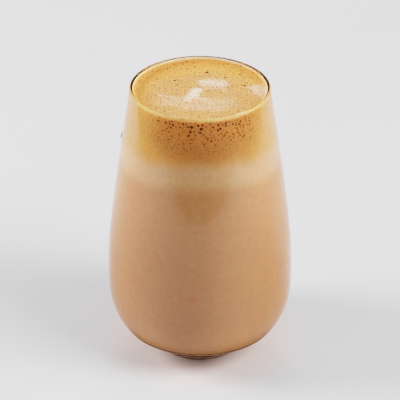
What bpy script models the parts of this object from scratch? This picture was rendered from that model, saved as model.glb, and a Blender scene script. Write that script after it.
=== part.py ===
"""A brimful glass of cappuccino, built up from its glass and the three layers of the drink.

The glass is a stemless tumbler: a small flat foot, a round bowl that is widest low down, and a
wall that draws in to a narrow rim. It holds milky coffee, a pale band of fine milk foam and a
golden head of crema with open bubbles and two smears of white foam.

Frame: metres, +Z up, the origin at the middle of the foot's underside. +X is to the right and
+Y away from the viewer, who sees the front of the glass.
"""

import math
import random

import bpy
from mathutils import Vector
from mathutils import noise

# Glass
GLASS_HEIGHT = 0.124
RIM_RADIUS = 0.0292
BELLY_RADIUS = 0.040
BELLY_HEIGHT = 0.037
FOOT_RADIUS = 0.0203
FOOT_ROUNDING = 0.0008
WALL = 0.0014
BASE_THICKNESS = 0.0040
SHOULDER_EASE = 0.0256
BOWL_POWER = 3.2
TUCK_POWER = 1.4
TUCK_HEIGHT = 0.0122
FLOOR_CORNER_POWER = 3.0

# Levels of the drink
COFFEE_TOP = 0.0936
MILK_FOAM_TOP = 0.1040
HEAD_TOP = 0.1213
GAP = 0.0003
HALF_GAP = GAP / 2
LAYER_WAVE = 0.00045
WAVE_LENGTH = 0.030

# Surface of the head
MENISCUS_RISE = 0.0005
MENISCUS_WIDTH = 0.0022
SWELL = 0.00022
SWELL_LENGTH = 0.011
SMEAR_RISE = 0.00030

# Two smears of white foam on the head: middle, half length, half width and turn
SMEARS = (
    (0.0060, 0.0085, 0.0052, 0.0026, -0.10),
    (-0.0022, -0.0030, 0.0062, 0.0034, 0.95),
)

# Open bubbles in the head and bubbles against the wall
TOP_BUBBLES = 30
WALL_BUBBLES = 26
SMALLEST_BUBBLE = 0.0004
LARGEST_BUBBLE = 0.0009
BUBBLE_SEED = 11

# How finely the round shapes are cut
SEGMENTS = 56
BOWL_STEPS = 9
SIDE_STEPS = 9
RIM_STEPS = 4
SAMPLES = 400

# Colours as they look, red, green and blue from 0 to 255
GLASS_COLOUR = (235, 238, 238)
COFFEE_COLOUR = (196, 150, 110)
MILK_FOAM_COLOUR = (212, 172, 128)
HEAD_COLOUR = (206, 154, 86)


def linear(colour):
    """An RGBA value that Blender's shader takes, from a colour as it looks."""
    channels = [value / 255 for value in colour]
    return [c / 12.92 if c <= 0.04045 else ((c + 0.055) / 1.055) ** 2.4 for c in channels] + [1.0]


def material(name, colour, roughness, transmission=0.0):
    made = bpy.data.materials.new(name)
    made.use_nodes = True
    shader = made.node_tree.nodes["Principled BSDF"]
    shader.inputs["Base Color"].default_value = linear(colour)
    shader.inputs["Roughness"].default_value = roughness
    shader.inputs["Metallic"].default_value = 0.0
    shader.inputs["Transmission Weight"].default_value = transmission
    return made


def collection(name):
    made = bpy.data.collections.new(name)
    bpy.context.scene.collection.children.link(made)
    return made


def outer_radius(height):
    """The outer radius: a bowl that is tucked in to the foot, and a side that eases in to the rim."""
    if height <= BELLY_HEIGHT:
        height = max(height, 0)
        flare = 1 - (1 - height / BELLY_HEIGHT) ** BOWL_POWER
        tuck = 1 - max(1 - height / TUCK_HEIGHT, 0) ** TUCK_POWER
        return FOOT_RADIUS + (BELLY_RADIUS - FOOT_RADIUS) * flare * tuck
    above = eased(height - BELLY_HEIGHT) / eased(GLASS_HEIGHT - BELLY_HEIGHT)
    return BELLY_RADIUS - (BELLY_RADIUS - RIM_RADIUS) * above


def eased(rise):
    return math.hypot(rise, SHOULDER_EASE) - SHOULDER_EASE


def inset_point(height, inset, floor):
    """The point straight in from the outer side by the inset, kept above a floor with a round corner."""
    step = 0.00001
    slope = (outer_radius(height + step) - outer_radius(height - step)) / (2 * step)
    length = math.hypot(slope, 1)
    radius = outer_radius(height) - inset / length
    rise = max(height + inset * slope / length, 0)
    return radius, (rise**FLOOR_CORNER_POWER + floor**FLOOR_CORNER_POWER) ** (1 / FLOOR_CORNER_POWER)


def bowl_heights(steps):
    """Heights up the bowl, closest together at the foot, where it turns fastest."""
    return [BELLY_HEIGHT * (1 - math.cos(math.pi / 2 * step / steps)) for step in range(steps + 1)]


def side_heights(steps, top):
    return [BELLY_HEIGHT + (top - BELLY_HEIGHT) * step / steps for step in range(1, steps + 1)]


def glass_outline():
    """From the middle of the floor up the inner side, over the rim and down the outer side to the foot."""
    rim = WALL / 2
    shoulder = GLASS_HEIGHT - rim
    heights = bowl_heights(BOWL_STEPS) + side_heights(SIDE_STEPS, shoulder)
    inner = [inset_point(height, WALL, BASE_THICKNESS) for height in heights]
    centre = outer_radius(shoulder) - rim
    turns = [math.pi * step / (RIM_STEPS + 1) for step in range(1, RIM_STEPS + 1)]
    over_rim = [(centre - rim * math.cos(turn), shoulder + rim * math.sin(turn)) for turn in turns]
    outer = [(outer_radius(height), height) for height in reversed(heights) if height > FOOT_ROUNDING]
    quarter = [math.pi / 2 * step / 2 for step in range(3)]
    inside = outer_radius(FOOT_ROUNDING) - FOOT_ROUNDING
    foot = [
        (inside + FOOT_ROUNDING * math.cos(turn), FOOT_ROUNDING * (1 - math.sin(turn)))
        for turn in quarter
    ]
    return [(0, BASE_THICKNESS)] + inner + over_rim + outer + foot + [(0, 0)]


def drink_radius(height):
    """The radius of the drink at a height: the glass's inner side less the gap."""
    floor = BASE_THICKNESS + GAP
    below = inset_point(0, WALL + GAP, floor)
    for step in range(1, SAMPLES + 1):
        above = inset_point(GLASS_HEIGHT * step / SAMPLES, WALL + GAP, floor)
        if above[1] >= height:
            share = (height - below[1]) / (above[1] - below[1])
            return below[0] + (above[0] - below[0]) * share
        below = above
    return below[0]


def flat_rings(radius, height, steps):
    """Points across a level, from near the middle out to the wall."""
    return [(radius * step / steps, height) for step in range(1, steps + 1)]


def layer_outline(bottom, top, rings, side_steps):
    """A layer of the drink between two levels, from the middle of its top round to the middle below."""
    upper = flat_rings(drink_radius(top), top, rings)
    levels = [top + (bottom - top) * step / side_steps for step in range(1, side_steps)]
    side = [(drink_radius(level), level) for level in levels]
    lower = flat_rings(drink_radius(bottom), bottom, rings)
    return [(0, top)] + upper + side + lower[::-1] + [(0, bottom)]


def coffee_outline(top, rings):
    """The milky coffee, which follows the inside of the bowl down to the floor."""
    upper = flat_rings(drink_radius(top), top, rings)
    floor = BASE_THICKNESS + GAP
    heights = bowl_heights(BOWL_STEPS) + side_heights(SIDE_STEPS - 2, top)
    side = [inset_point(height, WALL + GAP, floor) for height in heights]
    below = [point for point in side if point[1] < top - 0.001]
    return [(0, top)] + upper + below[::-1] + [(0, floor)]


def turned(name, outline, finish, home):
    """A body of revolution about Z, as an object that keeps its Screw modifier."""
    mesh = bpy.data.meshes.new(name)
    points = [(radius, 0, height) for radius, height in outline]
    mesh.from_pydata(points, [(index, index + 1) for index in range(len(points) - 1)], [])
    obj = bpy.data.objects.new(name, mesh)
    home.objects.link(obj)
    screw = obj.modifiers.new("Turn", "SCREW")
    screw.axis = "Z"
    screw.angle = 2 * math.pi
    screw.steps = SEGMENTS
    screw.render_steps = SEGMENTS
    screw.use_merge_vertices = True
    screw.merge_threshold = 0.00005
    mesh.materials.append(finish)
    return obj


def apply_modifiers(obj):
    """Gives the object the mesh that its modifiers make."""
    bpy.context.view_layer.update()
    graph = bpy.context.evaluated_depsgraph_get()
    mesh = bpy.data.meshes.new_from_object(obj.evaluated_get(graph))
    mesh.name = obj.name
    obj.modifiers.clear()
    obj.data = mesh


def smooth(obj):
    obj.data.shade_smooth()
    obj.data.set_sharp_from_angle(angle=math.radians(40))


def layer_wave(x, y):
    """How far the boundary between two layers rises or falls at a place."""
    return LAYER_WAVE * noise.noise(Vector((x, y, 0)) / WAVE_LENGTH)


def smear_height(x, y):
    """The white smears' relief: a low mound over each long patch."""
    rise = 0
    for middle_x, middle_y, length, width, turn in SMEARS:
        along = (x - middle_x) * math.cos(turn) + (y - middle_y) * math.sin(turn)
        across = (y - middle_y) * math.cos(turn) - (x - middle_x) * math.sin(turn)
        distance = math.hypot(along / length, across / width)
        rise = max(rise, SMEAR_RISE * max(0, 1 - distance**2))
    return rise


def head_relief(x, y):
    """The head's surface: low swells, the smears and a rim that climbs the glass."""
    edge = drink_radius(HEAD_TOP) - math.hypot(x, y)
    climb = MENISCUS_RISE * math.exp(-max(edge, 0) / MENISCUS_WIDTH)
    swell = SWELL * noise.noise(Vector((x, y, HEAD_TOP)) / SWELL_LENGTH)
    return climb + swell + smear_height(x, y)


def shift_level(obj, level, relief):
    """Moves the points that lie on a level up or down by a relief."""
    for vertex in obj.data.vertices:
        if abs(vertex.co.z - level) < 0.00001:
            vertex.co.z += relief(vertex.co.x, vertex.co.y)


def bubble_size(draw):
    """Many small bubbles and few large ones."""
    return SMALLEST_BUBBLE + (LARGEST_BUBBLE - SMALLEST_BUBBLE) * draw.random() ** 3


def bubble_places():
    """Centre and radius of each open bubble: in the head's surface, then against the wall below it."""
    draw = random.Random(BUBBLE_SEED)
    places = []
    edge = drink_radius(HEAD_TOP)
    turn = math.pi * (3 - math.sqrt(5))
    for index in range(TOP_BUBBLES):
        out = edge * math.sqrt(0.12 + 0.70 * (index + draw.random()) / TOP_BUBBLES)
        angle = index * turn + draw.uniform(-0.3, 0.3)
        x, y = out * math.cos(angle), out * math.sin(angle)
        places.append((Vector((x, y, HEAD_TOP + head_relief(x, y))), bubble_size(draw)))
    for index in range(WALL_BUBBLES):
        height = HEAD_TOP - 0.0015 - 0.0075 * draw.random() ** 1.5
        angle = 2 * math.pi * (index + draw.uniform(-0.3, 0.3)) / WALL_BUBBLES
        out = drink_radius(height)
        size = bubble_size(draw)
        places.append((Vector((out * math.cos(angle), out * math.sin(angle), height)), size))
    return places


def bubble_cutters(home):
    """A small sphere for each bubble, which is cut from the head."""
    for index, (centre, radius) in enumerate(bubble_places()):
        bpy.ops.mesh.primitive_ico_sphere_add(subdivisions=1, radius=radius, location=centre)
        cutter = bpy.context.object
        cutter.name = f"bubble_cutter_{index:02d}"
        cutter.rotation_euler = (0.3 * index, 0.2 * index, 0.7 * index)
        for holder in list(cutter.users_collection):
            holder.objects.unlink(cutter)
        home.objects.link(cutter)
        cutter.hide_render = True
        cutter.display_type = "WIRE"


def glass(home):
    finish = material("clear_glass", GLASS_COLOUR, 0.02, 1.0)
    tumbler = turned("glass", glass_outline(), finish, home)
    apply_modifiers(tumbler)
    smooth(tumbler)


def coffee(home):
    finish = material("milky_coffee", COFFEE_COLOUR, 0.35)
    top = COFFEE_TOP - HALF_GAP
    body = turned("coffee", coffee_outline(top, 4), finish, home)
    apply_modifiers(body)
    shift_level(body, top, layer_wave)
    smooth(body)


def milk_foam(home):
    finish = material("milk_foam", MILK_FOAM_COLOUR, 0.6)
    bottom = COFFEE_TOP + HALF_GAP
    top = MILK_FOAM_TOP - HALF_GAP
    band = turned("milk_foam", layer_outline(bottom, top, 4, 2), finish, home)
    apply_modifiers(band)
    shift_level(band, bottom, layer_wave)
    shift_level(band, top, lambda x, y: layer_wave(y, x))
    smooth(band)


def crema_head(home, cutters):
    finish = material("crema", HEAD_COLOUR, 0.55)
    bottom = MILK_FOAM_TOP + HALF_GAP
    head = turned("crema_head", layer_outline(bottom, HEAD_TOP, 11, 4), finish, home)
    apply_modifiers(head)
    shift_level(head, bottom, lambda x, y: layer_wave(y, x))
    shift_level(head, HEAD_TOP, head_relief)
    bubble_cutters(cutters)
    cut = head.modifiers.new("Bubbles", "BOOLEAN")
    cut.operation = "DIFFERENCE"
    cut.operand_type = "COLLECTION"
    cut.collection = cutters
    cut.solver = "EXACT"
    smooth(head)


def main():
    for obj in list(bpy.data.objects):
        bpy.data.objects.remove(obj, do_unlink=True)
    home = collection("glass_of_cappuccino")
    cutters = collection("cutters")
    glass(home)
    coffee(home)
    milk_foam(home)
    crema_head(home, cutters)


main()
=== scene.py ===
"""Glass of cappuccino: the looks of the tumbler, the layered drink and its bubbly head.

The file is laid out as an add-on. Each piece has its own operator, and main() calls them in order.
Sizes are metres in the part's own frame: +Z up, the origin under the middle of the foot, -Y to the
viewer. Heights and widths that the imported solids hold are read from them.
"""

import math
import random

import bpy
import numpy as np
from bpy.props import FloatProperty, FloatVectorProperty, IntProperty, PointerProperty
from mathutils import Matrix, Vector
from mathutils import noise


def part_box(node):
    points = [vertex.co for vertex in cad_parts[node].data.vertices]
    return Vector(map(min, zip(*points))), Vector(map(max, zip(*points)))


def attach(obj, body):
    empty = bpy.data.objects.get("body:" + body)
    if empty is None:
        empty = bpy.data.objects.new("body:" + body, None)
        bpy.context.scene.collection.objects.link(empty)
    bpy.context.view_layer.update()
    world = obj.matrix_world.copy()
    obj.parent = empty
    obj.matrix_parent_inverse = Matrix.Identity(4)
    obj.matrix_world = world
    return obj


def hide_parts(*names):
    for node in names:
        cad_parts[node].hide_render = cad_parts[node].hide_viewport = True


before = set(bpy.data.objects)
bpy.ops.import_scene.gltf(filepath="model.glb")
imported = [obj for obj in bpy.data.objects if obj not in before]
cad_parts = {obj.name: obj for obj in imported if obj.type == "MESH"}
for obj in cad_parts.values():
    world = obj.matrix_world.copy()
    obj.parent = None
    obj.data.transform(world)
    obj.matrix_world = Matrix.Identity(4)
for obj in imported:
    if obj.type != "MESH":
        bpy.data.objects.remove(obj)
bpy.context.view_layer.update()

bl_info = {
    "name": "Glass of cappuccino",
    "version": (1, 0, 0),
    "blender": (4, 5, 0),
    "location": "View3D > Sidebar > Cappuccino",
    "description": "Builds a stemless tumbler, its layered drink and a soft studio stage",
    "category": "Add Mesh",
}

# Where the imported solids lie
GLASS_LOW, GLASS_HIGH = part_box("glass")
COFFEE_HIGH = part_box("coffee")[1]
MILK_FOAM_LOW, MILK_FOAM_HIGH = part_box("milk_foam")
HEAD_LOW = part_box("crema_head")[0]

# Form of the glass, as in the solids
BOWL_POWER = 3.2
TUCK_POWER = 1.4
TUCK_HEIGHT = 0.0122
SHOULDER_EASE = 0.0256
FLOOR_CORNER_POWER = 3.0
FOOT_ROUNDING = 0.0008
UNDERSIDE_EDGE = 0.0003
SLOPE_STEP = 0.00001

# How finely the pieces are cut
GLASS_SEGMENTS = 160
DRINK_SEGMENTS = 320
BOWL_STEPS = 36
SIDE_STEPS = 44
RIM_STEPS = 10
ROUNDING_STEPS = 5
HEAD_RINGS = 84
HEAD_RING_POWER = 0.9
DRINK_SIDE_STEPS = 46
FINE_BOWL_STEPS = 200
FINE_SIDE_STEPS = 400
FINE_HOLLOW = 0.0004

# Edges sharper than these angles, in degrees, stay sharp
GLASS_SHARP = 50
DRINK_SHARP = 35

# The drink's surface lies this far inside the wall, so that no air shows between them
BITE = 0.00006

# Relief of the head: how the climb wavers, then heights and scales of its slow and fine swells
CLIMB_WAVER = 0.25
CLIMB_WAVER_SCALE = 60
SLOW_SWELL = 0.00016
SLOW_SWELL_SCALE = 90
FINE_SWELL = 0.00007
FINE_SWELL_SCALE = 420
SMEAR_RISE = 0.00018

# Hollows on the head: depth of their centres as a share of the radius, and how their sizes are drawn
NAMED_SINK = 0.35
SMALL_SINK = 0.2
SMALL_SPREAD = 0.00022
SMALL_POWER = 2.5
BARE_EDGE = 0.0016
CLUMP_SCALE = 110
SMEAR_WITHOUT_HOLLOWS = 0.25
HOLLOW_GAP = 0.00006

# Hollows against the wall: from how far above the head's level to how far down, and how they thin out
WALL_START = 0.0003
WALL_DEPTH = 0.0125
WALL_DEPTH_POWER = 1.3
WALL_SIZE_POWER = 3.2
WALL_SHRINK = 0.75
WALL_BARE_SIDE = 0.64
WALL_BARE_SPREAD = 0.30

# How much the drop narrows to its top and widens to its tip
DROP_TAPER = 0.3

# Light that comes flat through the glass to the watery drink is thrown back: the ratio of their indices
INNER_IOR = 0.887

# Scales of the drink's slow unevenness, its mottling and its grain
SLOW_SCALE = 34
MOTTLE_SCALE = 420
GRAIN_SCALE = 1500

# How much the surface faces the front, from 0 to 1, where the front's painted shade and the sides' painted
# light end, and by how much that shifts for each metre to the right
FRONT_EDGE = (0.52, 0.98)
FRONT_LEAN = 3.0
SIDE_LIGHT_EDGE = (0.45, 0.92)
SIDE_LIGHT_LEAN_RIGHT = 10.0
SIDE_LIGHT_LEAN_LEFT = -4.0

# Heights between which a look changes, and the spot's inner and outer radius
# Below the first pair the floor's bounced light is painted onto the coffee
FLOOR_LIT_HEIGHTS = (0.014, 0.032)
PALER_COFFEE_HEIGHTS = (0.045, 0.092)
NARROW_FRONT_HEIGHTS = (0.100, 0.114)
MIRROR_HEIGHTS = (0.015, 0.030)
SPOT_RADII = (0.0006, 0.0024)

# The same above or below the coffee's, the milk foam's and the head's level
BAND_START = (-0.0024, 0.0044)
CREMA_START = (-0.0026, 0.0036)
FROTH_START = (-0.0190, -0.0030)
UPPER_CREMA_START = (-0.0120, -0.0020)
RIM_FOAM_START = (0.0005, 0.0018)
TOP_START = (-0.002, -0.001)
MIRROR_END = (-0.002, 0)

# How the boundaries waver, and how much higher they lie in front
BOUNDARY_WAVER = 0.0030
BOUNDARY_RISE = 0.0026

# The head's ring along the wall: radii, how they waver and how they shift to the front
RING_RADII = (0.0170, 0.0265)
RING_WAVER = 0.012
RING_SHIFT = 0.28

# Fine bubbles: scale, then smallest and largest radius as shares of a cell
COARSE_FROTH = (600, 0.07, 0.30)
FINE_FROTH = (1300, 0.12, 0.34)
PORES = (560, 0.04, 0.26)
FINE_PORES = (1300, 0.10, 0.34)

# The radius at which the drink's side is unrolled for its froth
FROTH_RADIUS = 0.031

# The floor lies a little under the foot and the dark card a little above it, both this far to each side
FLOOR_DROP = 0.0003
FLOOR_REACH = 6
CARD_LIFT = 0.001
CARD_REACH = 3

# Where the card is dark: towards the viewer, at its sides and in a half ring in front of the foot. Only
# reflections and
# rays through the glass see it: it paints dark reflections, and its half ring paints the shade under the bowl
# into them
CARD_FADE = (-0.32, -0.12)
CARD_FRONT = (-0.320, -0.306)
CARD_SIDES = (0.35, 0.375)
CARD_SHADE_RING_INSIDE = (0.0212, 0.0220)
CARD_SHADE_RING_OUTSIDE = (0.030, 0.048)
CARD_SHADE_RING_FRONT = (-0.012, -0.002)

# Painted warm glow of light through the drink, on the floor close to the foot: its radii
DRINK_GLOW_RADII = (0.022, 0.052)

# Soft lights: diameter, and the height on the axis that they shine at
LIGHT_SIZE = 0.5
LIGHT_AIM = 0.06

# The camera's response: light that comes out half bright, contrast there, brightest light, curve points
RESPONSE_MIDDLE = 0.333
RESPONSE_CONTRAST = 1.41
RESPONSE_WHITE = 3.0
RESPONSE_STEPS = 14

# Strokes of white foam on the head, in millimetres: start, end, half width and strength
SMEAR_STROKES = (
    ((2.0, 8.6), (8.8, 7.6), 2.9, 0.55),
    ((3.5, 11.0), (8.0, 10.4), 1.7, 0.32),
    ((9.2, 6.6), (10.4, 0.6), 1.0, 0.24),
    ((2.4, 3.4), (8.6, 3.6), 1.0, 0.22),
    ((-1.6, 1.2), (-3.4, -3.0), 2.3, 0.80),
    ((-3.2, -2.8), (-5.2, -6.6), 1.9, 0.60),
    ((-2.6, -4.6), (1.6, -6.4), 1.5, 0.42),
    ((1.4, -6.2), (5.2, -11.0), 1.7, 0.32),
    ((-17.0, -2.6), (-12.0, -4.4), 0.8, 0.30),
    ((-12.0, -4.4), (-7.4, -8.4), 1.0, 0.30),
    ((23.6, 3.0), (27.6, -2.6), 3.4, 0.40),
    ((-6.5, -12.5), (7.5, -14.0), 2.6, 0.24),
    ((-13.0, -8.0), (10.0, -9.5), 4.5, 0.20),
)

# A faint reddish spot low on the front of the coffee
SPOT_PLACE = (-0.003, -0.0385, 0.0436)

# The largest open bubbles on the head, in millimetres: place and radius
NAMED_BUBBLES = (
    (3.0, 18.2, 0.85),
    (5.6, 18.6, 0.42),
    (7.2, 18.3, 0.42),
    (3.7, 16.2, 0.40),
    (4.2, 14.3, 0.42),
    (16.9, 16.2, 0.62),
    (10.6, 13.5, 0.55),
    (18.4, 12.5, 0.45),
    (18.6, 6.2, 0.66),
    (13.4, 5.5, 0.42),
    (11.6, 4.6, 0.48),
    (21.2, 0.9, 0.50),
    (-10.6, 10.8, 0.62),
    (-9.9, 7.0, 0.48),
    (-18.3, 12.6, 0.45),
    (-19.2, 6.3, 0.50),
    (-16.8, 3.6, 0.46),
    (-13.9, 2.1, 0.40),
    (-17.9, -1.2, 0.36),
    (-13.8, 21.5, 0.46),
    (-14.3, 16.8, 0.46),
    (-9.6, 1.0, 0.32),
    (-9.3, 20.1, 0.40),
    (-7.6, 21.1, 0.34),
    (0.2, 4.8, 0.30),
    (2.9, -3.9, 0.30),
)

# The largest bubbles against the wall: degrees to the right of the front, height and radius in millimetres
NAMED_WALL_BUBBLES = (
    (-6.7, 120.3, 0.66),
    (-1.4, 121.0, 0.52),
    (1.9, 121.2, 0.50),
    (0.7, 119.6, 0.60),
    (-22.0, 120.3, 0.50),
    (-23.7, 119.1, 0.46),
    (21.1, 120.2, 0.56),
    (14.4, 118.7, 0.50),
    (10.3, 120.1, 0.48),
    (-35.3, 120.5, 0.44),
    (-28.6, 120.5, 0.46),
    (-23.3, 121.7, 0.42),
    (-13.6, 121.4, 0.50),
    (-7.7, 118.1, 0.54),
    (-8.7, 116.7, 0.46),
    (-7.5, 113.5, 0.40),
    (6.0, 115.6, 0.44),
    (27.3, 120.1, 0.46),
    (32.8, 119.4, 0.44),
    (35.5, 113.7, 0.40),
)


def colour_of(red, green, blue):
    """A linear colour from one as it looks, each channel from 0 to 255."""
    channels = [value / 255 for value in (red, green, blue)]
    return tuple(c / 12.92 if c <= 0.04045 else ((c + 0.055) / 1.055) ** 2.4 for c in channels)


def length_property(name, description, default):
    return FloatProperty(
        name=name, description=description, default=default, min=0, unit="LENGTH", precision=5
    )


def angle_property(name, description, degrees):
    return FloatProperty(
        name=name, description=description, default=math.radians(degrees), subtype="ANGLE"
    )


def colour_property(name, description, default):
    return FloatVectorProperty(
        name=name, description=description, default=colour_of(*default), min=0, max=1, subtype="COLOR"
    )


def power_property(name, description, default):
    return FloatProperty(name=name, description=description, default=default, min=0, unit="POWER")


def count_property(name, description, default):
    return IntProperty(name=name, description=description, default=default, min=0)


class TumblerSettings(bpy.types.PropertyGroup):
    """Sizes and tint of the glass"""

    height: length_property("Height", "From the foot to the rim", GLASS_HIGH.z - GLASS_LOW.z)
    belly_radius: length_property("Belly radius", "Outer radius where the bowl is widest", GLASS_HIGH.x)
    belly_height: length_property("Belly height", "Height of the widest place", 0.037)
    rim_radius: length_property("Rim radius", "Outer radius at the rim", 0.0292)
    foot_radius: length_property("Foot radius", "Outer radius of the flat foot", 0.0203)
    wall: length_property("Wall", "Thickness of the wall", 0.0014)
    base: length_property("Base", "Thickness of the floor of the bowl", 0.0040)
    tint: colour_property("Tint", "Colour that the clear glass gives to light", (247, 249, 245))


class DrinkSettings(bpy.types.PropertyGroup):
    """Levels and colours of the drink"""

    coffee_top: length_property(
        "Coffee level", "Top of the milky coffee", (COFFEE_HIGH.z + MILK_FOAM_LOW.z) / 2
    )
    foam_top: length_property(
        "Milk foam level", "Top of the pale band", (MILK_FOAM_HIGH.z + HEAD_LOW.z) / 2
    )
    head_top: length_property("Head level", "Level of the head's surface away from the wall", 0.1213)
    climb: length_property("Climb", "How far the head climbs the wall", 0.0022)
    climb_width: length_property("Climb width", "How far from the wall the climb starts", 0.0008)
    coffee: colour_property("Coffee", "Milky coffee", (215, 158, 108))
    # Painted light: the floor's bounced light painted onto the coffee close to the foot
    floor_lit_coffee: colour_property("Low coffee", "Coffee close to the foot", (236, 170, 110))
    # Coffee that is paler towards its top
    upper_coffee: colour_property("Upper coffee", "Milkier coffee near its top", (220, 169, 124))
    # Painted light: the side lights painted into the coffee's colour at the sides, low and high up, paler
    # high up
    side_lit_coffee: colour_property("Side coffee", "Milky coffee at the sides", (217, 154, 99))
    upper_side_lit_coffee: colour_property("Upper side coffee", "Milkier coffee at the sides", (236, 171, 118))
    spot: colour_property("Spot", "Faint reddish spot low on the front", (226, 128, 96))
    milk_foam: colour_property("Milk foam", "Pale band under the crema", (235, 194, 151))
    # Painted light: the side lights painted into the pale band at the sides
    side_lit_foam: colour_property("Side foam", "Pale band at the sides", (253, 199, 150))
    # Painted shade and light: the crema is painted a darker brown at the front, where the side lights miss
    # it, and paler at the sides and back, where they fall
    crema: colour_property("Crema", "Brown crema at the front", (226, 161, 102))
    lit_crema: colour_property("Pale crema", "Crema at the sides and the back", (252, 190, 117))
    upper_crema: colour_property("Upper crema", "Frothy crema in front, by the head", (250, 174, 106))
    rim_foam: colour_property("Rim foam", "Cream that climbs the wall to the rim", (252, 216, 156))
    head_middle: colour_property("Head middle", "Head's surface in the middle", (201, 148, 100))
    head_ring: colour_property("Head ring", "Head's surface along the wall", (212, 146, 84))
    white_foam: colour_property("White foam", "Smears of milk foam on the head", (240, 213, 196))
    speck: colour_property("Specks", "Dark grain in the head's surface", (92, 74, 42))
    # Painted shade: the dark inside open bubbles and pores; also the dark tone of the side's mottle and grain
    hollow: colour_property("Hollow", "Inside of an open bubble", (124, 58, 16))


class BubbleSettings(bpy.types.PropertyGroup):
    """Numbers and sizes of the bubbles that are cut as hollows"""

    head_count: count_property("Head bubbles", "Small bubbles in the head's surface", 150)
    wall_count: count_property("Wall bubbles", "Bubbles against the glass", 220)
    smallest: length_property("Smallest", "Radius of the smallest hollow", 0.00021)
    largest: length_property("Largest", "Radius of the largest hollow against the wall", 0.00062)
    seed: IntProperty(name="Seed", description="Start of the random draw", default=7)


class DropSettings(bpy.types.PropertyGroup):
    """Place, size and colour of the dried drop on the outside of the wall"""

    level: length_property("Level", "Height of the drop's middle", 0.1)
    turn: angle_property("Turn", "Where it is, from the front to the left", 94)
    length: length_property("Length", "From the drop's top to its tip", 0.0034)
    width: length_property("Width", "Across the drop", 0.0020)
    bulge: length_property("Bulge", "How far it stands out from the wall", 0.0005)
    colour: colour_property("Colour", "Dried coffee", (158, 132, 106))


class StageSettings(bpy.types.PropertyGroup):
    """Camera, floor and lights"""

    distance: length_property("Camera distance", "From the camera to the point it looks at", 0.8)
    aim: length_property("Aim height", "Height on the axis that the camera looks at", 0.0694)
    elevation: angle_property("Elevation", "How far the camera looks down", 30.7)
    focal: FloatProperty(
        name="Focal length", description="Lens on a 36 mm sensor, in mm", default=167.9, min=1
    )
    floor: colour_property("Floor", "Pale floor", (193, 193, 197))
    # Painted light: the warm glow that light through the drink throws on the floor by the foot
    drink_glow_floor: colour_property("Warm floor", "Floor close to the foot, a little warmer", (214, 170, 150))
    left: power_property("Left light", "Power of the soft light on the left", 12.8)
    right: power_property("Right light", "Power of the soft light on the right", 6.7)
    high_right: power_property("High right light", "Power of the raised light on the right", 7.0)
    back: power_property("Back light", "Power of the soft light behind the glass", 4.0)
    world: FloatProperty(
        name="Room light", description="Strength of the room's even light", default=0.005, min=0
    )


# Shape of the glass


def eased(rise):
    return math.hypot(rise, SHOULDER_EASE) - SHOULDER_EASE


def outer_radius(glass, height):
    """The outer radius: a bowl that is tucked in to the foot, and a side that eases in to the rim."""
    if height <= glass.belly_height:
        height = max(height, 0)
        flare = 1 - (1 - height / glass.belly_height) ** BOWL_POWER
        tuck = 1 - max(1 - height / TUCK_HEIGHT, 0) ** TUCK_POWER
        return glass.foot_radius + (glass.belly_radius - glass.foot_radius) * flare * tuck
    above = eased(height - glass.belly_height) / eased(glass.height - glass.belly_height)
    return glass.belly_radius - (glass.belly_radius - glass.rim_radius) * above


def inset_point(glass, height, inset, floor):
    """The point straight in from the outer side by the inset, kept above a floor with a round corner."""
    rise_in_radius = outer_radius(glass, height + SLOPE_STEP) - outer_radius(glass, height - SLOPE_STEP)
    slope = rise_in_radius / (2 * SLOPE_STEP)
    length = math.hypot(slope, 1)
    radius = outer_radius(glass, height) - inset / length
    rise = max(height + inset * slope / length, 0)
    return radius, (rise**FLOOR_CORNER_POWER + floor**FLOOR_CORNER_POWER) ** (1 / FLOOR_CORNER_POWER)


def outline_heights(glass, bowl_steps, side_steps, top):
    """Heights up the outer side, closest together at the foot, where it turns fastest."""
    belly = glass.belly_height
    bowl = [belly * (1 - math.cos(math.pi / 2 * step / bowl_steps)) for step in range(bowl_steps + 1)]
    side = [belly + (top - belly) * step / side_steps for step in range(1, side_steps + 1)]
    return bowl + side


def tumbler_outline(glass):
    """From the middle of the floor up the inner side, over the rim and down the outer side to the foot."""
    rim = glass.wall / 2
    shoulder = glass.height - rim
    heights = outline_heights(glass, BOWL_STEPS, SIDE_STEPS, shoulder)
    inner = [inset_point(glass, height, glass.wall, glass.base) for height in heights]
    centre = outer_radius(glass, shoulder) - rim
    turns = [math.pi * step / (RIM_STEPS + 1) for step in range(1, RIM_STEPS + 1)]
    over_rim = [(centre - rim * math.cos(turn), shoulder + rim * math.sin(turn)) for turn in turns]
    outer = [(outer_radius(glass, height), height) for height in reversed(heights) if height > FOOT_ROUNDING]
    inside = outer_radius(glass, FOOT_ROUNDING) - FOOT_ROUNDING
    quarter = [math.pi / 2 * step / ROUNDING_STEPS for step in range(ROUNDING_STEPS + 1)]
    foot = [
        (inside + FOOT_ROUNDING * math.cos(turn), FOOT_ROUNDING * (1 - math.sin(turn))) for turn in quarter
    ]
    floor = [(0, glass.base), (inner[0][0] / 2, glass.base)]
    return floor + inner + over_rim + outer + foot + [(inside - UNDERSIDE_EDGE, 0), (inside / 2, 0), (0, 0)]


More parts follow.
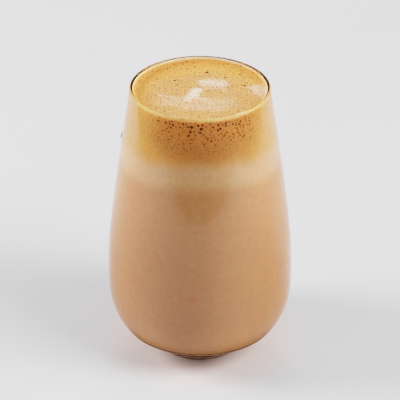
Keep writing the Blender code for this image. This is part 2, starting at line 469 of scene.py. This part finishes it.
def lathe(name, outline, segments):
    """A closed body turned about Z from an outline that starts and ends on the axis."""
    angles = [2 * math.pi * segment / segments for segment in range(segments)]
    rings = outline[1:-1]
    points = [(r * math.cos(a), r * math.sin(a), z) for r, z in rings for a in angles]
    first, last = len(points), len(points) + 1
    points += [(0, 0, outline[0][1]), (0, 0, outline[-1][1])]
    faces = []
    for ring in range(len(rings) - 1):
        for segment in range(segments):
            after = (segment + 1) % segments
            low, high = ring * segments, (ring + 1) * segments
            faces.append((low + segment, high + segment, high + after, low + after))
    end = (len(rings) - 1) * segments
    for segment in range(segments):
        after = (segment + 1) % segments
        faces.append((first, segment, after))
        faces.append((last, end + after, end + segment))
    mesh = bpy.data.meshes.new(name)
    mesh.from_pydata(points, [], faces)
    mesh.update()
    return mesh


def new_piece(name, mesh, slot, *nodes):
    """Links a mesh as a piece that rides on the part and stands for these nodes."""
    piece = bpy.data.objects.new(name, mesh)
    bpy.context.scene.collection.objects.link(piece)
    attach(piece, "root")
    if nodes:
        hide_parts(*nodes)
    return piece


# Shape of the drink


def inner_radii(glass):
    """Heights and radii up the drink's side, a bite inside the wall, for interpolation."""
    inset = glass.wall - BITE
    floor = glass.base - BITE
    heights = outline_heights(glass, FINE_BOWL_STEPS, FINE_SIDE_STEPS, glass.height)
    side = [inset_point(glass, height, inset, floor) for height in heights]
    return [z for r, z in side], [r for r, z in side]


def smear_amount(x, y):
    """How much white foam lies at a place on the head, from 0 to 1, torn at its edges."""
    place = Vector((x, y, 0)) * 1000
    tear = noise.noise(place * 0.55) * 0.55 + noise.noise(place * 1.7) * 0.30
    amount = 0
    for (start_x, start_y), (end_x, end_y), width, strength in SMEAR_STROKES:
        start = Vector((start_x, start_y, 0))
        along = Vector((end_x, end_y, 0)) - start
        share = min(max((place - start).dot(along) / along.length_squared, 0), 1)
        distance = (place - start - along * share).length / width
        soft = min(max((1.6 - distance + tear) / 1.3, 0), 1)
        amount = max(amount, strength * soft * soft * (3 - 2 * soft))
    return amount


def head_height(drink, edge_radius, x, y):
    """Height of the head's surface: low swells, raised smears and a rim that climbs the glass."""
    edge = max(edge_radius - math.hypot(x, y), 0)
    around = Vector((x, y, 0)) * CLIMB_WAVER_SCALE
    climb = drink.climb * (1 + CLIMB_WAVER * noise.noise(around)) * math.exp(-edge / drink.climb_width)
    place = Vector((x, y, 0.5))
    swell = SLOW_SWELL * noise.noise(place * SLOW_SWELL_SCALE)
    swell += FINE_SWELL * noise.noise(place * FINE_SWELL_SCALE)
    return drink.head_top + climb + swell + SMEAR_RISE * smear_amount(x, y)


def drink_mesh(glass, drink):
    """The whole drink as one closed body: its head, its side inside the wall and its foot."""
    levels, radii = inner_radii(glass)
    edge_top = drink.head_top + drink.climb
    edge_radius = float(np.interp(edge_top, levels, radii))
    shares = [math.sin(math.pi / 2 * ring / HEAD_RINGS) ** HEAD_RING_POWER for ring in range(HEAD_RINGS + 1)]
    head = [(edge_radius * share, drink.head_top) for share in shares]
    floor = levels[0]
    steps = DRINK_SIDE_STEPS
    downs = [math.sin(math.pi / 2 * step / steps) for step in range(1, steps)]
    heights = [edge_top + (floor - edge_top) * down for down in downs]
    side = [(float(np.interp(height, levels, radii)), height) for height in heights]
    mesh = lathe("drink", head + side + [(radii[0], floor), (0, floor)], DRINK_SEGMENTS)
    head_points = DRINK_SEGMENTS * HEAD_RINGS
    for index, vertex in enumerate(mesh.vertices):
        if index < head_points or index == len(mesh.vertices) - 2:
            vertex.co.z = head_height(drink, edge_radius, vertex.co.x, vertex.co.y)
    mesh.update()
    return mesh


def far_enough(place, size, taken):
    return all((place - other).length > size + other_size + HOLLOW_GAP for other, other_size in taken)


def head_hollows(drink, bubbles, draw, edge_radius):
    """Centres and radii of the hollows on the head: the named ones, then small ones in clumps."""
    places = []
    for x, y, size in NAMED_BUBBLES:
        x, y, size = x / 1000, y / 1000, size / 1000
        places.append((Vector((x, y, head_height(drink, edge_radius, x, y) - size * NAMED_SINK)), size))
    tries = 0
    while len(places) < len(NAMED_BUBBLES) + bubbles.head_count and tries < 6000:
        tries += 1
        radius = (edge_radius - BARE_EDGE) * math.sqrt(draw.random())
        angle = draw.uniform(0, 2 * math.pi)
        x, y = radius * math.cos(angle), radius * math.sin(angle)
        size = bubbles.smallest + SMALL_SPREAD * draw.random() ** SMALL_POWER
        clump = noise.noise(Vector((x, y, 3)) * CLUMP_SCALE)
        if clump + 0.25 < draw.random() * 0.7 or smear_amount(x, y) > SMEAR_WITHOUT_HOLLOWS:
            continue
        place = Vector((x, y, head_height(drink, edge_radius, x, y) - size * SMALL_SINK))
        if far_enough(place, size, places):
            places.append((place, size))
    return places


def wall_hollows(drink, bubbles, draw, levels, radii):
    """Centres and radii of the hollows against the wall: the named ones, then ever fewer further down."""
    places = []
    for degrees, height, size in NAMED_WALL_BUBBLES:
        angle, height = math.radians(degrees - 90), height / 1000
        out = float(np.interp(height, levels, radii)) - BITE
        places.append((Vector((out * math.cos(angle), out * math.sin(angle), height)), size / 1000))
    tries = 0
    while len(places) < bubbles.wall_count and tries < 40000:
        tries += 1
        drop = draw.random() ** WALL_DEPTH_POWER
        height = drink.head_top + WALL_START - WALL_DEPTH * drop
        angle = draw.uniform(0, 2 * math.pi)
        if abs(math.sin(angle)) < WALL_BARE_SIDE + WALL_BARE_SPREAD * draw.random():
            continue
        growth = (bubbles.largest - bubbles.smallest) * draw.random() ** WALL_SIZE_POWER
        size = bubbles.smallest + growth * (1 - WALL_SHRINK * drop)
        out = float(np.interp(height, levels, radii)) - BITE
        place = Vector((out * math.cos(angle), out * math.sin(angle), height))
        if far_enough(place, size, places):
            places.append((place, size))
    return places


def ball(subdivisions):
    """Points and faces of a faceted ball with a radius of 1."""
    bpy.ops.mesh.primitive_ico_sphere_add(subdivisions=subdivisions, radius=1)
    sphere = bpy.context.object
    points = np.array([vertex.co for vertex in sphere.data.vertices])
    faces = np.array([face.vertices for face in sphere.data.polygons])
    bpy.data.objects.remove(sphere, do_unlink=True)
    return points, faces


def bubble_cutter(places):
    """All hollows as one mesh of small balls, the larger ones finer."""
    coarse, fine = ball(1), ball(2)
    all_points, all_faces, count = [], [], 0
    for place, size in places:
        points, faces = fine if size > FINE_HOLLOW else coarse
        all_points.append(points * size + np.array(place))
        all_faces.append(faces + count)
        count += len(points)
    mesh = bpy.data.meshes.new("bubble_cutter")
    mesh.from_pydata(np.concatenate(all_points).tolist(), [], np.concatenate(all_faces).tolist())
    mesh.update()
    return mesh


def cut_hollows(piece, cutter_mesh, hollow_material):
    """Cuts the hollows from the drink. Their faces keep the hollow's material."""
    cutter_mesh.materials.append(hollow_material)
    cutter = bpy.data.objects.new("bubble_cutter", cutter_mesh)
    bpy.context.scene.collection.objects.link(cutter)
    cut = piece.modifiers.new("Hollows", "BOOLEAN")
    cut.operation = "DIFFERENCE"
    cut.object = cutter
    cut.solver = "MANIFOLD"
    cut.material_mode = "TRANSFER"
    bpy.context.view_layer.update()
    graph = bpy.context.evaluated_depsgraph_get()
    result = bpy.data.meshes.new_from_object(piece.evaluated_get(graph))
    piece.modifiers.clear()
    before = piece.data
    piece.data = result
    bpy.data.meshes.remove(before)
    result.name = piece.name
    bpy.data.objects.remove(cutter, do_unlink=True)


def mark_smears(mesh, drink):
    """Stores the white foam's amount on the head's points, for the material."""
    amounts = mesh.attributes.new("white_foam", "FLOAT", "POINT")
    values = [
        smear_amount(vertex.co.x, vertex.co.y) if vertex.co.z > drink.head_top - 0.0006 else 0
        for vertex in mesh.vertices
    ]
    amounts.data.foreach_set("value", values)


def shade_smooth(mesh, angle):
    mesh.shade_smooth()
    mesh.set_sharp_from_angle(angle=math.radians(angle))


# Materials


class Shader:
    """A material's node tree, with short ways to add nodes and to join them."""

    def __init__(self, name):
        self.material = bpy.data.materials.new(name)
        self.material.use_nodes = True
        self.tree = self.material.node_tree
        self.surface = self.tree.nodes["Principled BSDF"]

    def node(self, kind, **settings):
        made = self.tree.nodes.new(kind)
        for key, value in settings.items():
            setattr(made, key, value)
        return made

    def join(self, source, target):
        self.tree.links.new(source, target)

    def put(self, target, value):
        """Links a socket to the target, or sets a plain value on it."""
        if isinstance(value, bpy.types.NodeSocket):
            self.join(value, target)
        else:
            target.default_value = value

    def finish(self, **values):
        """Sets plain values on the surface, by the names of its sockets with _ for each space."""
        for key, value in values.items():
            self.surface.inputs[key.replace("_", " ")].default_value = value

    def place(self):
        """The place on the piece itself."""
        return self.node("ShaderNodeTexCoord").outputs["Object"]

    def axes(self, vector):
        split = self.node("ShaderNodeSeparateXYZ")
        self.join(vector, split.inputs["Vector"])
        return split.outputs["X"], split.outputs["Y"], split.outputs["Z"]

    def length(self, vector):
        made = self.node("ShaderNodeVectorMath", operation="LENGTH")
        self.join(vector, made.inputs[0])
        return made.outputs["Value"]

    def math(self, operation, first, second=0.0):
        made = self.node("ShaderNodeMath", operation=operation)
        self.put(made.inputs[0], first)
        self.put(made.inputs[1], second)
        return made.outputs[0]

    def times(self, first, second):
        return self.math("MULTIPLY", first, second)

    def plus(self, first, second):
        return self.math("ADD", first, second)

    def less(self, first, second):
        return self.math("SUBTRACT", first, second)

    def larger(self, first, second):
        return self.math("MAXIMUM", first, second)

    def ramp(self, value, edges, low=0.0, high=1.0, level=0.0):
        """A smooth change from low to high while the value passes the edges, which count from the level."""
        made = self.node("ShaderNodeMapRange", interpolation_type="SMOOTHSTEP")
        self.put(made.inputs["Value"], value)
        self.put(made.inputs["From Min"], level + edges[0])
        self.put(made.inputs["From Max"], level + edges[1])
        self.put(made.inputs["To Min"], low)
        self.put(made.inputs["To Max"], high)
        return made.outputs["Result"]

    def noise(self, place, scale, detail=2.0, roughness=0.5):
        made = self.node("ShaderNodeTexNoise")
        self.join(place, made.inputs["Vector"])
        made.inputs["Scale"].default_value = scale
        made.inputs["Detail"].default_value = detail
        made.inputs["Roughness"].default_value = roughness
        return made.outputs["Fac"]

    def dots(self, place, scale, smallest, largest):
        """Round dots, one in each cell of a scattered pattern, with radii as shares of a cell."""
        made = self.node("ShaderNodeTexVoronoi", voronoi_dimensions="2D")
        self.join(place, made.inputs["Vector"])
        made.inputs["Scale"].default_value = scale
        draw = self.node("ShaderNodeSeparateColor")
        self.join(made.outputs["Color"], draw.inputs["Color"])
        radius = self.ramp(draw.outputs["Red"], (0.0, 1.0), smallest, largest)
        return self.ramp(self.math("DIVIDE", made.outputs["Distance"], radius), (0.55, 1.05), 1.0, 0.0)

    def blend(self, share, first, second):
        """Goes from the first colour to the second as the share goes from 0 to 1."""
        made = self.node("ShaderNodeMix", data_type="RGBA")
        self.put(made.inputs["Factor"], share)
        self.put(made.inputs["A"], first if isinstance(first, bpy.types.NodeSocket) else (*first, 1))
        self.put(made.inputs["B"], second if isinstance(second, bpy.types.NodeSocket) else (*second, 1))
        return made.outputs["Result"]

    def bump(self, height, distance, strength):
        made = self.node("ShaderNodeBump")
        self.join(height, made.inputs["Height"])
        made.inputs["Distance"].default_value = distance
        made.inputs["Strength"].default_value = strength
        self.join(made.outputs["Normal"], self.surface.inputs["Normal"])


class DrinkShader(Shader):
    """The drink's node tree, with the measures that its colours follow."""

    def __init__(self, drink):
        super().__init__("layered_drink")
        self.drink = drink
        self.at = self.place()
        self.x, self.y, self.z = self.axes(self.at)
        level = self.node("ShaderNodeVectorMath", operation="MULTIPLY")
        self.join(self.at, level.inputs[0])
        level.inputs[1].default_value = (1, 1, 0)
        self.from_axis = self.length(level.outputs[0])
        self.slow = self.less(self.noise(self.at, SLOW_SCALE), 0.5)
        self.mottle = self.noise(self.at, MOTTLE_SCALE, 5.0, 0.7)
        self.grain = self.ramp(self.noise(self.at, GRAIN_SCALE, 2.0, 0.6), (0.40, 0.66))
        forward = self.math("DIVIDE", self.times(self.y, -1.0), self.from_axis)
        forward = self.plus(forward, self.times(self.slow, 0.3))
        narrower = self.ramp(self.z, NARROW_FRONT_HEIGHTS, 0.18, 0.0)
        leaning = self.plus(forward, self.times(self.x, FRONT_LEAN))
        self.front = self.ramp(self.less(leaning, narrower), FRONT_EDGE)
        # Painted side light: how far round the sides' lit colours reach, further on the right
        sideways = self.larger(self.times(self.x, SIDE_LIGHT_LEAN_RIGHT), self.times(self.x, SIDE_LIGHT_LEAN_LEFT))
        self.painted_side_light = self.ramp(self.less(forward, sideways), SIDE_LIGHT_EDGE, 1.0, 0.0)

    def coffee(self):
        """Paler near its top, warmer at the sides with the side light painted in, and lighter close to the
        foot with the floor's bounced light painted in, with the faint spot.
        """
        drink = self.drink
        # Painted side light in the coffee's colour
        lower = self.blend(self.painted_side_light, drink.coffee, drink.side_lit_coffee)
        upper = self.blend(self.painted_side_light, drink.upper_coffee, drink.upper_side_lit_coffee)
        coffee = self.blend(self.ramp(self.z, PALER_COFFEE_HEIGHTS), lower, upper)
        # Painted light: the floor's bounced light, close to the foot and away from the sides
        floor_light = self.times(self.ramp(self.z, FLOOR_LIT_HEIGHTS, 1.0, 0.0), self.less(1.0, self.painted_side_light))
        coffee = self.blend(floor_light, coffee, drink.floor_lit_coffee)
        to_spot = self.node("ShaderNodeVectorMath", operation="DISTANCE")
        self.join(self.at, to_spot.inputs[0])
        to_spot.inputs[1].default_value = SPOT_PLACE
        return self.blend(self.ramp(to_spot.outputs["Value"], SPOT_RADII, 0.4, 0.0), coffee, drink.spot)

    def froth(self):
        """Fine bubbles against the wall as dots of painted shade, laid out as if the side was unrolled,
        denser towards the head.
        """
        turn = self.math("ARCTAN2", self.x, self.times(self.y, -1.0))
        unrolled = self.node("ShaderNodeCombineXYZ")
        self.join(self.times(turn, FROTH_RADIUS), unrolled.inputs["X"])
        self.join(self.z, unrolled.inputs["Y"])
        coarse = self.dots(unrolled.outputs["Vector"], *COARSE_FROTH)
        fine = self.dots(unrolled.outputs["Vector"], *FINE_FROTH)
        dense = self.ramp(self.z, FROTH_START, 0.0, 0.9, self.drink.head_top)
        dense = self.times(dense, self.ramp(self.front, (0.0, 1.0), 0.35, 1.0))
        return self.times(self.larger(coarse, self.times(fine, 0.6)), dense)

    def side(self):
        """What shows through the wall: coffee, the pale band and the crema, one above the other."""
        drink = self.drink
        height = self.plus(self.z, self.times(self.slow, BOUNDARY_WAVER))
        height = self.plus(height, self.times(self.less(1.0, self.front), BOUNDARY_RISE))
        # Painted side light in the pale band, and painted front shade and side light in the crema
        milk_foam = self.blend(self.painted_side_light, drink.milk_foam, drink.side_lit_foam)
        crema = self.blend(self.front, drink.lit_crema, drink.crema)
        side = self.blend(self.ramp(height, BAND_START, level=drink.coffee_top), self.coffee(), milk_foam)
        side = self.blend(self.ramp(height, CREMA_START, level=drink.foam_top), side, crema)
        frothy = self.ramp(self.z, UPPER_CREMA_START, 0.0, 0.7, drink.head_top)
        side = self.blend(self.times(frothy, self.front), side, drink.upper_crema)
        # Bubbles against the wall as dots of painted shade
        side = self.blend(self.froth(), side, drink.hollow)
        creamy = self.ramp(self.z, RIM_FOAM_START, 0.0, 0.7, drink.head_top)
        side = self.blend(creamy, side, drink.rim_foam)
        side = self.blend(self.ramp(self.mottle, (0.3, 0.7), 0.0, 0.11), side, drink.hollow)
        return self.blend(self.times(self.grain, 0.05), side, drink.hollow)

    def head(self):
        """The marbled surface: darker along the wall, with white smears, dark grain and pores as dots of
        painted shade.
        """
        drink = self.drink
        radius = self.plus(self.from_axis, self.times(self.slow, RING_WAVER))
        ring = self.ramp(self.plus(radius, self.times(self.y, RING_SHIFT)), RING_RADII)
        head = self.blend(ring, drink.head_middle, drink.head_ring)
        head = self.blend(self.ramp(self.mottle, (0.42, 0.66), 0.0, 0.6), head, drink.head_ring)
        white = self.node("ShaderNodeAttribute", attribute_name="white_foam").outputs["Fac"]
        head = self.blend(white, head, drink.white_foam)
        fewer = self.ramp(self.plus(white, ring), (0.0, 1.0), 0.52, 0.21)
        head = self.blend(self.times(self.grain, fewer), head, drink.speck)
        # Pores as dots of painted shade
        pores = self.times(self.dots(self.at, *PORES), 0.85)
        fine_pores = self.times(self.dots(self.at, *FINE_PORES), 0.5)
        return self.blend(self.larger(pores, fine_pores), head, drink.hollow)

    def on_top(self):
        """1 on the head's surface and 0 on the side."""
        up = self.axes(self.node("ShaderNodeNewGeometry").outputs["True Normal"])[2]
        return self.times(self.ramp(up, (0.25, 0.6)), self.ramp(self.z, TOP_START, level=self.drink.head_top))

    def inner_mirror(self):
        """Throws flat light back at the side, as a glass wall does that has a watery drink behind it."""
        fresnel = self.node("ShaderNodeFresnel")
        fresnel.inputs["IOR"].default_value = INNER_IOR
        below_rim = self.ramp(self.z, MIRROR_END, 1.0, 0.0, self.drink.head_top)
        on_wall = self.times(self.ramp(self.z, MIRROR_HEIGHTS, 0.75, 0.88), below_rim)
        mirror = self.node("ShaderNodeBsdfGlossy")
        mirror.inputs["Color"].default_value = (1, 1, 1, 1)
        mirror.inputs["Roughness"].default_value = 0.0
        both = self.node("ShaderNodeMixShader")
        self.join(self.times(fresnel.outputs["Fac"], on_wall), both.inputs["Fac"])
        self.join(self.surface.outputs["BSDF"], both.inputs[1])
        self.join(mirror.outputs["BSDF"], both.inputs[2])
        self.join(both.outputs["Shader"], self.tree.nodes["Material Output"].inputs["Surface"])


def clear_glass(glass):
    """Polished clear glass with the faint waviness of a moulded wall."""
    shader = Shader("clear_glass")
    shader.finish(Base_Color=(*glass.tint, 1), Roughness=0.0, IOR=1.5, Transmission_Weight=1.0)
    shader.bump(shader.noise(shader.place(), 38, 1.0), 0.0004, 0.25)
    return shader.material


def layered_drink(drink):
    """Milky coffee, the pale band and the crema, one above the other, and the marbled head."""
    shader = DrinkShader(drink)
    colour = shader.blend(shader.on_top(), shader.side(), shader.head())
    shader.join(colour, shader.surface.inputs["Base Color"])
    shader.finish(Subsurface_Weight=1.0, Subsurface_Radius=(1.0, 1.0, 1.0), Subsurface_Scale=0.0012)
    shader.finish(Roughness=0.45, Specular_IOR_Level=0.08)
    shader.bump(shader.mottle, 0.00025, 0.6)
    shader.inner_mirror()
    return shader.material


def bubble_hollow(drink):
    """Wet inside of an open bubble, with the shade of its depth painted in, unevenly dark."""
    shader = Shader("bubble_hollow")
    shade = shader.ramp(shader.noise(shader.place(), 700), (0.3, 0.7), 0.0, 0.15)
    shader.join(shader.blend(shade, drink.hollow, drink.crema), shader.surface.inputs["Base Color"])
    shader.finish(Roughness=0.25)
    return shader.material


def dried_coffee(drop):
    """Glossy skin of a dried drop."""
    shader = Shader("dried_coffee")
    shader.finish(Base_Color=(*drop.colour, 1), Roughness=0.2)
    return shader.material


def pale_floor(stage):
    """Matt pale floor with a barely visible grain, and a painted warm glow of light through the drink close
    to the foot.
    """
    shader = Shader("pale_floor")
    place = shader.place()
    grain = shader.ramp(shader.noise(place, 6), (0.3, 0.7), 0.97, 1.0)
    tinted = shader.node("ShaderNodeMix", data_type="RGBA", blend_type="MULTIPLY")
    tinted.inputs["Factor"].default_value = 1
    tinted.inputs["A"].default_value = (*stage.floor, 1)
    shader.join(grain, tinted.inputs["B"])
    drink_glow = shader.ramp(shader.length(place), DRINK_GLOW_RADII, 0.45, 0.0)
    colour = shader.blend(drink_glow, tinted.outputs["Result"], stage.drink_glow_floor)
    shader.join(colour, shader.surface.inputs["Base Color"])
    shader.finish(Roughness=0.9, Specular_IOR_Level=0.1)
    return shader.material


def painted_reflection_card():
    """Black card, clear but for its front, its sides and a half ring in front of the foot: painted dark
    reflections, and in the ring painted shade under the bowl.
    """
    shader = Shader("reflected_shade_card")
    place = shader.place()
    x, y = shader.axes(place)[:2]
    out = shader.length(place)
    front = shader.larger(shader.ramp(y, CARD_FADE, 0.2, 0.0), shader.ramp(y, CARD_FRONT, 1.0, 0.0))
    sides = shader.ramp(shader.math("ABSOLUTE", x), CARD_SIDES)
    ring = shader.times(shader.ramp(out, CARD_SHADE_RING_OUTSIDE, 0.85, 0.0), shader.ramp(out, CARD_SHADE_RING_INSIDE))
    ring = shader.times(ring, shader.ramp(y, CARD_SHADE_RING_FRONT, 1.0, 0.0))
    shader.join(shader.larger(front, shader.larger(sides, ring)), shader.surface.inputs["Alpha"])
    shader.finish(Base_Color=(0.01, 0.01, 0.01, 1), Specular_IOR_Level=0.0)
    return shader.material


# Operators, one for each piece and one for the stage


class CAPPUCCINO_OT_tumbler(bpy.types.Operator):
    """Turn the clear glass tumbler from its outline"""

    bl_idname = "cappuccino.tumbler"
    bl_label = "Tumbler"

    def execute(self, context):
        glass = context.scene.cappuccino_tumbler
        mesh = lathe("tumbler", tumbler_outline(glass), GLASS_SEGMENTS)
        mesh.materials.append(clear_glass(glass))
        shade_smooth(mesh, GLASS_SHARP)
        new_piece("tumbler", mesh, "clear_glass", "glass")
        return {"FINISHED"}


class CAPPUCCINO_OT_drink(bpy.types.Operator):
    """Pour the layered drink up to the rim and give its head its relief"""

    bl_idname = "cappuccino.drink"
    bl_label = "Drink"

    def execute(self, context):
        drink = context.scene.cappuccino_drink
        mesh = drink_mesh(context.scene.cappuccino_tumbler, drink)
        mesh.materials.append(layered_drink(drink))
        new_piece("drink", mesh, "milky_coffee", "coffee", "milk_foam", "crema_head")
        return {"FINISHED"}


class CAPPUCCINO_OT_bubbles(bpy.types.Operator):
    """Cut the open bubbles into the head and against the wall"""

    bl_idname = "cappuccino.bubbles"
    bl_label = "Bubbles"

    def execute(self, context):
        drink = context.scene.cappuccino_drink
        bubbles = context.scene.cappuccino_bubbles
        piece = bpy.data.objects["drink"]
        draw = random.Random(bubbles.seed)
        levels, radii = inner_radii(context.scene.cappuccino_tumbler)
        edge_radius = float(np.interp(drink.head_top, levels, radii))
        places = head_hollows(drink, bubbles, draw, edge_radius)
        places += wall_hollows(drink, bubbles, draw, levels, radii)
        cut_hollows(piece, bubble_cutter(places), bubble_hollow(drink))
        mark_smears(piece.data, drink)
        shade_smooth(piece.data, DRINK_SHARP)
        return {"FINISHED"}


class CAPPUCCINO_OT_drop(bpy.types.Operator):
    """Set the dried drop on the outside of the wall"""

    bl_idname = "cappuccino.drop"
    bl_label = "Drop"

    def execute(self, context):
        drop = context.scene.cappuccino_drop
        glass = context.scene.cappuccino_tumbler
        points, faces = ball(3)
        across, up = points[:, 1] * drop.width / 2, points[:, 2] * drop.length / 2
        across = across * (1 - DROP_TAPER * points[:, 2])
        reach = outer_radius(glass, drop.level)
        lean = outer_radius(glass, drop.level + drop.length) - reach
        out = reach + points[:, 0] * drop.bulge + lean * up / drop.length
        side_x, side_y = -math.sin(drop.turn), -math.cos(drop.turn)
        x, y = out * side_x - across * side_y, out * side_y + across * side_x
        mesh = bpy.data.meshes.new("drop")
        mesh.from_pydata(np.column_stack((x, y, drop.level + up)).tolist(), [], faces.tolist())
        mesh.materials.append(dried_coffee(drop))
        mesh.shade_smooth()
        new_piece("drop", mesh, "milky_coffee")
        return {"FINISHED"}


class CAPPUCCINO_OT_stage(bpy.types.Operator):
    """Lay the pale floor and set the lights and the camera"""

    bl_idname = "cappuccino.stage"
    bl_label = "Stage"

    def execute(self, context):
        stage = context.scene.cappuccino_stage
        floor = self.sheet("floor", FLOOR_REACH, -FLOOR_DROP, pale_floor(stage))
        # A dark card that only reflections and rays through the glass see: painted dark reflections, and
        # painted shade under the bowl
        dark = self.sheet("reflected_shade_card", CARD_REACH, CARD_LIFT, painted_reflection_card())
        dark.visible_camera = False
        dark.visible_diffuse = False
        dark.visible_shadow = False
        self.soft_light("left_light", -96, 28, stage.left)
        self.soft_light("right_light", 80, 25, stage.right)
        self.soft_light("high_right_light", 60, 45, stage.high_right)
        self.soft_light("back_light", 180, 25, stage.back).visible_transmission = False
        world = bpy.data.worlds.new("room")
        world.use_nodes = True
        world.node_tree.nodes["Background"].inputs["Color"].default_value = (1, 1, 1, 1)
        world.node_tree.nodes["Background"].inputs["Strength"].default_value = stage.world
        context.scene.world = world
        self.camera(context, stage)
        self.response(context.scene.view_settings)
        return {"FINISHED"}

    def sheet(self, name, reach, height, material):
        """A level square sheet around the axis."""
        corners = ((-reach, -reach), (reach, -reach), (reach, reach), (-reach, reach))
        mesh = bpy.data.meshes.new(name)
        mesh.from_pydata([(x, y, height) for x, y in corners], [], [(0, 1, 2, 3)])
        mesh.materials.append(material)
        sheet = bpy.data.objects.new(name, mesh)
        bpy.context.scene.collection.objects.link(sheet)
        return sheet

    def soft_light(self, name, turn, rise, power):
        """A round light a metre from the glass, at degrees to the right of the front and up."""
        data = bpy.data.lights.new(name, "AREA")
        data.shape = "DISK"
        data.size = LIGHT_SIZE
        data.energy = power
        light = bpy.data.objects.new(name, data)
        bpy.context.scene.collection.objects.link(light)
        turn, rise = math.radians(turn), math.radians(rise)
        way = Vector((math.sin(turn) * math.cos(rise), -math.cos(turn) * math.cos(rise), math.sin(rise)))
        light.location = Vector((0, 0, LIGHT_AIM)) + way
        light.rotation_euler = (-way).to_track_quat("-Z", "Y").to_euler()
        light.visible_glossy = False
        return light

    def response(self, view):
        """A camera's own S-shaped response on top of the plain view."""
        view.view_transform = "Standard"
        view.use_curve_mapping = True
        mapping = view.curve_mapping
        mapping.white_level = (RESPONSE_WHITE, RESPONSE_WHITE, RESPONSE_WHITE)
        curve = mapping.curves[3]
        for step in range(1, RESPONSE_STEPS):
            share = (step / RESPONSE_STEPS) ** 2
            curve.points.new(share, self.responded(share))
        curve.points[len(curve.points) - 1].location = (1, self.responded(1))
        mapping.update()

    def responded(self, share):
        return 1 / (1 + (RESPONSE_MIDDLE / (share * RESPONSE_WHITE)) ** RESPONSE_CONTRAST)

    def camera(self, context, stage):
        data = bpy.data.cameras.new("camera")
        data.sensor_width = 36
        data.lens = stage.focal
        camera = bpy.data.objects.new("camera", data)
        context.scene.collection.objects.link(camera)
        down = stage.elevation
        back = -stage.distance * math.cos(down)
        camera.location = (0, back, stage.aim + stage.distance * math.sin(down))
        camera.rotation_euler = (math.pi / 2 - down, 0, 0)
        context.scene.camera = camera


class CAPPUCCINO_PT_sidebar(bpy.types.Panel):
    """Buttons for the pieces, with their sizes and colours"""

    bl_idname = "CAPPUCCINO_PT_sidebar"
    bl_label = "Glass of cappuccino"
    bl_space_type = "VIEW_3D"
    bl_region_type = "UI"
    bl_category = "Cappuccino"

    def draw(self, context):
        for operator in OPERATORS:
            self.layout.operator(operator.bl_idname)
        for name in SETTINGS:
            group = getattr(context.scene, name)
            box = self.layout.box()
            for key in group.__annotations__:
                box.prop(group, key)


SETTINGS = {
    "cappuccino_tumbler": TumblerSettings,
    "cappuccino_drink": DrinkSettings,
    "cappuccino_bubbles": BubbleSettings,
    "cappuccino_drop": DropSettings,
    "cappuccino_stage": StageSettings,
}
OPERATORS = (
    CAPPUCCINO_OT_tumbler,
    CAPPUCCINO_OT_drink,
    CAPPUCCINO_OT_bubbles,
    CAPPUCCINO_OT_drop,
    CAPPUCCINO_OT_stage,
)
CLASSES = (*SETTINGS.values(), *OPERATORS, CAPPUCCINO_PT_sidebar)


def register():
    for made in CLASSES:
        bpy.utils.register_class(made)
    for name, group in SETTINGS.items():
        setattr(bpy.types.Scene, name, PointerProperty(type=group))


def unregister():
    for name in SETTINGS:
        delattr(bpy.types.Scene, name)
    for made in reversed(CLASSES):
        bpy.utils.unregister_class(made)


def main():
    register()
    bpy.ops.cappuccino.tumbler()
    bpy.ops.cappuccino.drink()
    bpy.ops.cappuccino.bubbles()
    bpy.ops.cappuccino.drop()
    bpy.ops.cappuccino.stage()


if __name__ == "__main__":
    main()
